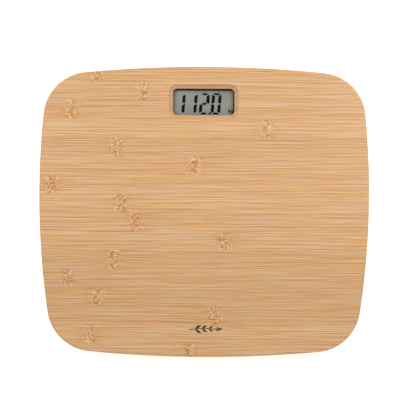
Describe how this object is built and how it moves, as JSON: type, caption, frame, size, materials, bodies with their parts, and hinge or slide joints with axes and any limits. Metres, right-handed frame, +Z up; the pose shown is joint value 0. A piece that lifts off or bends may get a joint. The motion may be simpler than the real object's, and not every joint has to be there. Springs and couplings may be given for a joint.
{
  "type": "digital bathroom scale",
  "caption": "Low digital bathroom scale: a rounded bamboo platform with a recessed LCD window, standing on sprung load-cell feet, with an electronics housing underneath.",
  "frame": {"origin": "on the floor, below the middle of the platform's bounding rectangle", "axes": "+X to the user's right, +Y towards the display end, +Z up"},
  "size_m": [0.3, 0.264, 0.023],
  "materials": {
    "bamboo": "horizontal strip bamboo, clear satin lacquer",
    "clear_plastic": "clear moulded acrylic, polished",
    "lcd_glass": "reflective grey-green LCD, satin polariser",
    "black_plastic": "moulded, matt",
    "grey_plastic": "moulded, fine spark texture",
    "rubber": "matt",
    "silicone": "satin silicone",
    "circuit_board": "green solder mask",
    "epoxy": "glossy potting blob",
    "zinc_steel": "bright zinc-plated steel",
    "wire": "satin insulation"
  },
  "bodies": {
    "platform": {"bamboo_platform": "bamboo", "display_window": "clear_plastic", "window_gasket": "rubber", "lcd_panel": "lcd_glass", "lcd_frame": "black_plastic", "lcd_connector": "silicone", "main_board": "circuit_board", "controller_chip": "epoxy", "capacitor": "black_plastic", "unit_switch": "black_plastic", "battery_contact_positive": "zinc_steel", "battery_contact_negative": "zinc_steel", "battery_cell": "zinc_steel", "display_housing": "grey_plastic", "load_cell_housing_front_left": "grey_plastic", "load_cell_front_left": "zinc_steel", "strain_gauge_front_left": "silicone", "cell_lead_front_left": "wire", "wire_cover_front_left": "grey_plastic", "foot_screw_front_left_a": "zinc_steel", "foot_screw_front_left_b": "zinc_steel", "housing_screw_front_left": "zinc_steel", "load_cell_housing_front_right": "grey_plastic", "load_cell_front_right": "zinc_steel", "strain_gauge_front_right": "silicone", "cell_lead_front_right": "wire", "wire_cover_front_right": "grey_plastic", "foot_screw_front_right_a": "zinc_steel", "foot_screw_front_right_b": "zinc_steel", "housing_screw_front_right": "zinc_steel", "load_cell_housing_rear_left": "grey_plastic", "load_cell_rear_left": "zinc_steel", "strain_gauge_rear_left": "silicone", "cell_lead_rear_left": "wire", "wire_cover_rear_left": "grey_plastic", "foot_screw_rear_left_a": "zinc_steel", "foot_screw_rear_left_b": "zinc_steel", "housing_screw_rear_left": "zinc_steel", "load_cell_housing_rear_right": "grey_plastic", "load_cell_rear_right": "zinc_steel", "strain_gauge_rear_right": "silicone", "cell_lead_rear_right": "wire", "wire_cover_rear_right": "grey_plastic", "foot_screw_rear_right_a": "zinc_steel", "foot_screw_rear_right_b": "zinc_steel", "housing_screw_rear_right": "zinc_steel", "board_screw_left": "zinc_steel", "board_screw_right": "zinc_steel"},
    "foot_front_left": {"foot_shell_front_left": "grey_plastic", "foot_pad_front_left": "rubber"},
    "foot_front_right": {"foot_shell_front_right": "grey_plastic", "foot_pad_front_right": "rubber"},
    "foot_rear_left": {"foot_shell_rear_left": "grey_plastic", "foot_pad_rear_left": "rubber"},
    "foot_rear_right": {"foot_shell_rear_right": "grey_plastic", "foot_pad_rear_right": "rubber"},
    "battery_door": {"battery_door": "grey_plastic"},
    "unit_button": {"unit_button": "black_plastic", "switch_plunger": "grey_plastic"}
  },
  "joints": [
    {"name": "foot_press_front_left", "type": "slide", "parent": "platform", "child": "foot_front_left", "axis": [0, 0, 1], "range_m": [0, 0.0005], "stiffness_N_per_m": 400000, "deforming": ["load_cell_front_left"]},
    {"name": "foot_press_front_right", "type": "slide", "parent": "platform", "child": "foot_front_right", "axis": [0, 0, 1], "range_m": [0, 0.0005], "stiffness_N_per_m": 400000, "deforming": ["load_cell_front_right"]},
    {"name": "foot_press_rear_left", "type": "slide", "parent": "platform", "child": "foot_rear_left", "axis": [0, 0, 1], "range_m": [0, 0.0005], "stiffness_N_per_m": 400000, "deforming": ["load_cell_rear_left"]},
    {"name": "foot_press_rear_right", "type": "slide", "parent": "platform", "child": "foot_rear_right", "axis": [0, 0, 1], "range_m": [0, 0.0005], "stiffness_N_per_m": 400000, "deforming": ["load_cell_rear_right"]},
    {"name": "battery_door_hinge", "type": "hinge", "parent": "platform", "child": "battery_door", "pos_m": [0.022, 0.0585, 0.0041], "axis": [-1, 0, 0], "range_deg": [0, 90]},
    {"name": "unit_button_press", "type": "slide", "parent": "platform", "child": "unit_button", "axis": [0, 0, 1], "range_m": [0, 0.0006], "stiffness_N_per_m": 2500}
  ]
}
